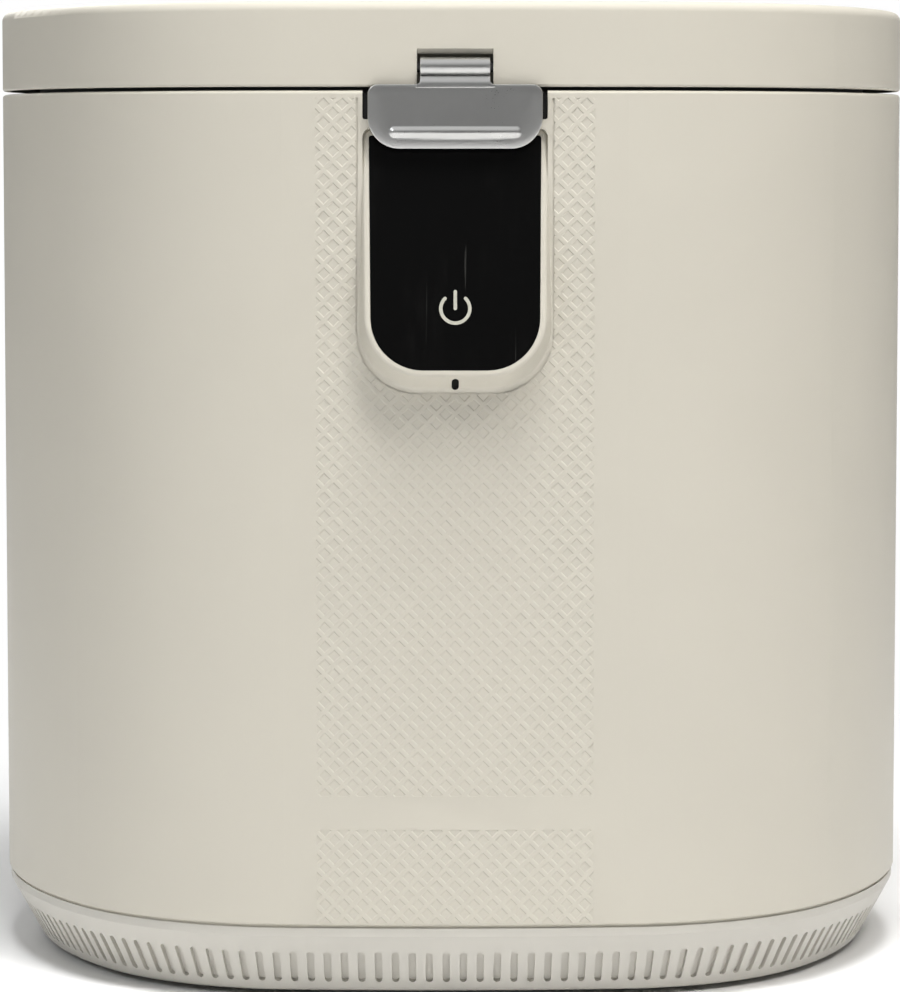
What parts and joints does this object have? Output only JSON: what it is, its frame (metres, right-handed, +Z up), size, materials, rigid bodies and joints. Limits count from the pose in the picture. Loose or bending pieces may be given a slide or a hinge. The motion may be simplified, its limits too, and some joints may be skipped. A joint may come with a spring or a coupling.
{
  "type": "electric food waste composter",
  "caption": "Oval countertop food waste composter with hinged lid, front latch, touch panel, lift-out bucket, geared agitator, fan and rear filter cassette.",
  "frame": {"origin": "centre of the bounding box on the surface the feet stand on, under the middle of the oval plan", "axes": "+X to the right seen from the front, -Y towards the front with the latch and touch panel, +Z up"},
  "size_m": [0.34, 0.3208, 0.35],
  "materials": {
    "black_glass": "back-printed black touch glass",
    "black_lens": "black light window",
    "black_plastic": "matt black moulding",
    "bright_pins": "plain brass",
    "bronze": "sintered bronze",
    "carbon_foam": "pelleted carbon block",
    "cast_blades": "cast steel blades",
    "circuit_board": "green solder mask",
    "coated_bucket": "dark non-stick coating on aluminium",
    "component_plastic": "moulded component cases",
    "dark_plastic": "matt dark grey moulding",
    "dark_rubber": "matt black rubber",
    "die_cast": "cast aluminium well",
    "fan_plastic": "black moulded rotor",
    "gear_steel": "machined steel gears",
    "gearbox_black": "glass-filled black nylon",
    "grey_plastic": "matt mid grey moulding",
    "grey_seal": "grey silicone seal",
    "ground_steel": "ground steel",
    "heater_alloy": "cast heater plate",
    "pale_print": "pale lit symbol",
    "satin_metal": "bead-blasted satin metal",
    "warm_cream": "fine matt moulded cream shell",
    "warm_cream_skirt": "fine matt moulded cream skirt",
    "zinc_steel": "zinc plated steel"
  },
  "bodies": {
    "chassis": {"base_skirt": "warm_cream_skirt", "bottom_plate": "dark_plastic", "rubber_feet": "dark_rubber", "base_screws": "zinc_steel", "body_shell": "warm_cream", "touch_panel": "black_glass", "power_symbol": "pale_print", "status_window": "black_lens", "control_board": "circuit_board", "latch_keeper": "black_plastic", "top_deck": "grey_plastic", "deck_screws": "zinc_steel", "bucket_well": "die_cast", "heater_plate": "heater_alloy", "gearbox_case": "gearbox_black", "gearbox_cover": "gearbox_black", "gearbox_screws": "zinc_steel", "gear_axles": "ground_steel", "output_bearings": "bronze", "shaft_seal": "dark_rubber", "motor_can": "zinc_steel", "motor_end_cap": "black_plastic", "blower_housing": "black_plastic", "fan_motor": "zinc_steel", "air_duct": "black_plastic", "filter_housing": "dark_plastic", "power_inlet": "black_plastic", "inlet_pins": "bright_pins", "main_board": "circuit_board", "board_components": "component_plastic", "board_bracket": "zinc_steel", "hinge_bracket": "satin_metal", "hinge_screws": "zinc_steel", "hinge_pin": "ground_steel"},
    "lid": {"lid_shell": "warm_cream", "lid_liner": "grey_plastic", "lid_seal": "grey_seal", "lid_screws": "zinc_steel", "lid_hinge": "satin_metal"},
    "latch": {"latch_plate": "satin_metal", "latch_pin": "ground_steel", "latch_hook": "satin_metal"},
    "bucket": {"bucket": "coated_bucket", "fixed_blades": "cast_blades", "bucket_bushing": "bronze"},
    "agitator": {"agitator_shaft": "ground_steel", "agitator_arms": "cast_blades", "driven_dog": "ground_steel"},
    "drive": {"drive_dog": "ground_steel", "output_shaft": "ground_steel", "output_gear": "gear_steel"},
    "second_reduction": {"second_gear": "gear_steel"},
    "first_reduction": {"first_gear": "gear_steel"},
    "motor_rotor": {"motor_pinion": "bright_pins"},
    "fan": {"fan_rotor": "fan_plastic"},
    "filter_cassette": {"cassette_tray": "dark_plastic", "carbon_block": "carbon_foam"}
  },
  "joints": [
    {"name": "lid_hinge", "type": "hinge", "parent": "chassis", "child": "lid", "pos_m": [0, 0.155, 0.32], "axis": [-1, 0, 0], "range_deg": [0, 95]},
    {"name": "latch_pivot", "type": "hinge", "parent": "lid", "child": "latch", "pos_m": [0, -0.1478, 0.3274], "axis": [-1, 0, 0], "range_deg": [0, 60]},
    {"name": "bucket_lift", "type": "slide", "parent": "chassis", "child": "bucket", "axis": [0, 0, 1], "range_m": [0, 0.008]},
    {"name": "cassette_slide", "type": "slide", "parent": "chassis", "child": "filter_cassette", "axis": [0, 1, 0], "range_m": [0, 0.052]},
    {"name": "drive_spin", "type": "hinge", "parent": "chassis", "child": "drive", "pos_m": [0, -0.022, 0.06], "axis": [0, 0, 1], "continuous": true},
    {"name": "agitator_spin", "type": "hinge", "parent": "bucket", "child": "agitator", "pos_m": [0, -0.022, 0.15], "axis": [0, 0, 1], "continuous": true},
    {"name": "second_gear_spin", "type": "hinge", "parent": "chassis", "child": "second_reduction", "pos_m": [-0.06065, -0.00911, 0.07], "axis": [0, 0, 1], "continuous": true},
    {"name": "first_gear_spin", "type": "hinge", "parent": "chassis", "child": "first_reduction", "pos_m": [-0.10373, -0.01671, 0.08], "axis": [0, 0, 1], "continuous": true},
    {"name": "motor_spin", "type": "hinge", "parent": "chassis", "child": "motor_rotor", "pos_m": [-0.13938, -0.02172, 0.12], "axis": [0, 0, 1], "continuous": true},
    {"name": "fan_spin", "type": "hinge", "parent": "chassis", "child": "fan", "pos_m": [0, 0.112, 0.206], "axis": [0, 1, 0], "continuous": true}
  ],
  "couplings": [
    {"joint": "agitator_spin", "follows": "drive_spin", "ratio": 1},
    {"joint": "second_gear_spin", "follows": "drive_spin", "ratio": -4.1667},
    {"joint": "first_gear_spin", "follows": "drive_spin", "ratio": 16.667},
    {"joint": "motor_spin", "follows": "drive_spin", "ratio": -83.333}
  ]
}
